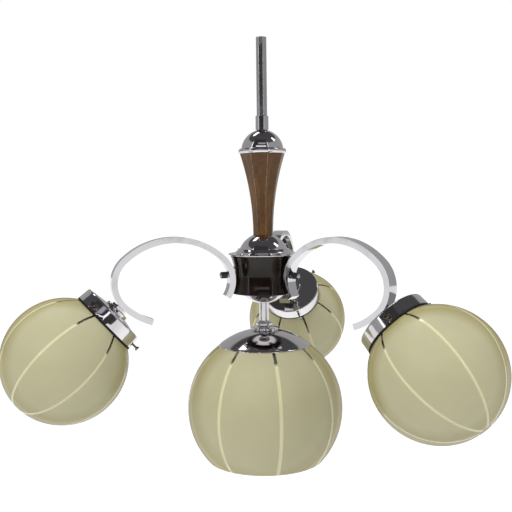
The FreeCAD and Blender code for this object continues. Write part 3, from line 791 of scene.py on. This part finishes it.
@dataclass
class Fasteners:
    """Nuts and nipples that are shared by the three arms."""

    edge: float = 0.25 * MM

    def pieces(self) -> Iterable[Piece]:
        """The fasteners."""
        yield Piece("arm_nuts", CHROME, "chrome", ease=self.edge, flat=True)
        yield Piece("cup_nipples", ZINC, "steel")
        yield Piece("cup_locknuts", ZINC, "steel", ease=self.edge, flat=True)


# ------------------------------------------------------------------ studio

@dataclass(frozen=True)
class Panel:
    """A part of the room that polished metal reflects, in degrees.

    Turn is counted from the viewer's side, plus to the right; rise is from the level.
    """

    turn: float
    width: float
    rise: float
    height: float
    colour: Colour
    soft: float = 2.0


@dataclass
class Studio:
    """Floor, lamps, camera and the room round the object."""

    bearing: float = -77.99
    eye: tuple[float, float, float] = (0.21135, -0.99348, -0.19794)
    look: float = 12.546
    pitch: float = 4.187
    roll: float = -0.68
    lens: float = 56.53
    floor_level: float = -1.7
    floor_size: float = 60.0
    ambient: float = 0.62
    room: float = 0.44
    panels: Sequence[Panel] = field(default_factory=lambda: (
        Panel(0, 360, 66, 52, (0.085, 0.083, 0.088), 5.0),
        Panel(-14.5, 91, 10, 100, (0.050, 0.046, 0.048), 3.0),
        Panel(23, 15, -10, 14, (0.095, 0.018, 0.014), 3.0),
        Panel(-7, 58, 23, 5, (1.7, 1.7, 1.8), 1.5),
        Panel(-2, 46, 38, 9, (0.50, 0.50, 0.56), 4.0),
        Panel(-61, 3.0, 8, 70, (2.8, 2.8, 2.9), 1.0),
        Panel(33, 2.6, 10, 70, (1.9, 1.9, 2.0), 1.0),
        Panel(-142, 46, 60, 10, (3.6, 3.6, 3.7), 3.0),
        Panel(97, 15, 47, 15, (3.2, 3.2, 3.3), 3.0),
    ))

    def build(self) -> None:
        """Set up everything round the object."""
        self.world()
        self.floor()
        self.lamp("overhead_softbox", (0.0, 0.0, 1.7), (0.0, 0.0, -0.3), 2.4, 26.0)
        self.lamp("front_softbox", (-0.9, -2.4, 0.9), (0.0, 0.0, -0.35), 1.6, 34.0)
        self.lamp("side_softbox", (2.6, -0.9, 0.5), (0.0, 0.0, -0.35), 1.4, 12.0)
        self.camera()
        settings = bpy.context.scene.view_settings
        settings.view_transform = "Standard"
        log.info("studio ready")

    def world(self) -> None:
        """A white background, an even light, and the room that metal reflects."""
        world = bpy.data.worlds.new("studio_room")
        bpy.context.scene.world = world
        world.use_nodes = True
        nodes = Nodes(world.node_tree)
        way = nodes.add("ShaderNodeTexCoord").outputs["Generated"]
        bearing = math.radians(self.bearing)
        toward = (math.cos(bearing), math.sin(bearing), 0.0)
        right = (-math.sin(bearing), math.cos(bearing), 0.0)
        turn = nodes.math("ARCTAN2", nodes.along(way, right), nodes.along(way, toward))
        rise = nodes.math("ARCSINE", nodes.along(way, (0.0, 0.0, 1.0)))
        seen: object = (self.room, self.room, self.room * 1.01)
        for panel in self.panels:
            masks = []
            for angle, middle, size in ((turn, panel.turn, panel.width),
                                        (rise, panel.rise, panel.height)):
                off = nodes.math("ABSOLUTE", nodes.math("SUBTRACT", angle,
                                                        math.radians(middle)))
                half, soft = math.radians(size / 2), math.radians(panel.soft)
                masks.append(nodes.ease(off, half - soft / 2, half + soft / 2, 1.0, 0.0))
            seen = nodes.mix(nodes.math("MULTIPLY", *masks), seen, panel.colour)
        path = nodes.add("ShaderNodeLightPath")
        even = (self.ambient, self.ambient, self.ambient)
        colour = nodes.mix(path.outputs["Is Glossy Ray"], even, seen)
        plain = nodes.math("MAXIMUM", path.outputs["Is Camera Ray"],
                           path.outputs["Is Transmission Ray"])
        colour = nodes.mix(plain, colour, (1.0, 1.0, 1.0))
        background = nodes.add("ShaderNodeBackground")
        nodes.feed(background.inputs["Color"], colour)
        output = nodes.add("ShaderNodeOutputWorld")
        nodes.tree.links.new(background.outputs[0], output.inputs["Surface"])

    def floor(self) -> None:
        """A pale floor far below the object."""
        bpy.ops.object.select_all(action="DESELECT")
        bpy.ops.mesh.primitive_plane_add(size=self.floor_size,
                                         location=(0.0, 0.0, self.floor_level))
        floor = bpy.context.object
        floor.name = "pale_floor"
        made = bpy.data.materials.new("pale_floor")
        made.use_nodes = True
        nodes = Nodes(made.node_tree)
        path = nodes.add("ShaderNodeLightPath")
        seen = nodes.math("MAXIMUM", nodes.math("MAXIMUM", path.outputs["Is Camera Ray"],
                                                path.outputs["Is Glossy Ray"]),
                          path.outputs["Is Transmission Ray"])
        glow = nodes.add("ShaderNodeEmission")
        nodes.feed(glow.inputs["Strength"], nodes.math("MULTIPLY", seen, 0.55))
        paint = nodes.add("ShaderNodeBsdfDiffuse")
        nodes.feed(paint.inputs["Color"], (0.85, 0.85, 0.85))
        both = nodes.add("ShaderNodeAddShader")
        nodes.tree.links.new(glow.outputs[0], both.inputs[0])
        nodes.tree.links.new(paint.outputs[0], both.inputs[1])
        output = nodes.add("ShaderNodeOutputMaterial")
        nodes.tree.links.new(both.outputs[0], output.inputs["Surface"])
        floor.data.materials.append(made)

    def lamp(self, name: str, place: Sequence[float], target: Sequence[float],
             size: float, power: float) -> None:
        """Add a soft square lamp that metal doesn't mirror.

        Args:
            name: the lamp's name.
            place: where it is.
            target: what it points at.
            size: its width.
            power: its power in watts.
        """
        light = bpy.data.lights.new(name, "AREA")
        light.size = size
        light.energy = power
        lamp = bpy.data.objects.new(name, light)
        bpy.context.scene.collection.objects.link(lamp)
        lamp.location = place
        way = Vector(target) - Vector(place)
        lamp.rotation_euler = way.to_track_quat("-Z", "Y").to_euler()
        lamp.visible_glossy = False

    def camera(self) -> None:
        """The camera, level with the stem and a little to the right of the back arm."""
        data = bpy.data.cameras.new("viewer")
        data.lens = self.lens
        data.sensor_width = 36.0
        camera = bpy.data.objects.new("viewer", data)
        bpy.context.scene.collection.objects.link(camera)
        turn = Matrix.Rotation(math.radians(self.look), 4, "Z")
        lean = Matrix.Rotation(math.radians(90 - self.pitch), 4, "X")
        twist = Matrix.Rotation(math.radians(self.roll), 4, "Z")
        camera.matrix_world = Matrix.Translation(self.eye) @ turn @ lean @ twist
        bpy.context.scene.camera = camera


def main() -> None:
    """Build each sub-assembly in order, then the studio."""
    logging.basicConfig(level=logging.INFO, format="%(name)s: %(message)s")
    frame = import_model()
    sub_assemblies = [Stem(), Hub(), CentreLight(), ArmLight(Side.BACK, 16.4),
                      ArmLight(Side.LEFT, 30.0), ArmLight(Side.RIGHT, 39.0), Fasteners()]
    for sub_assembly in sub_assemblies:
        for piece in sub_assembly.pieces():
            piece.build(frame)
    Studio().build()


if __name__ == "__main__":
    main()
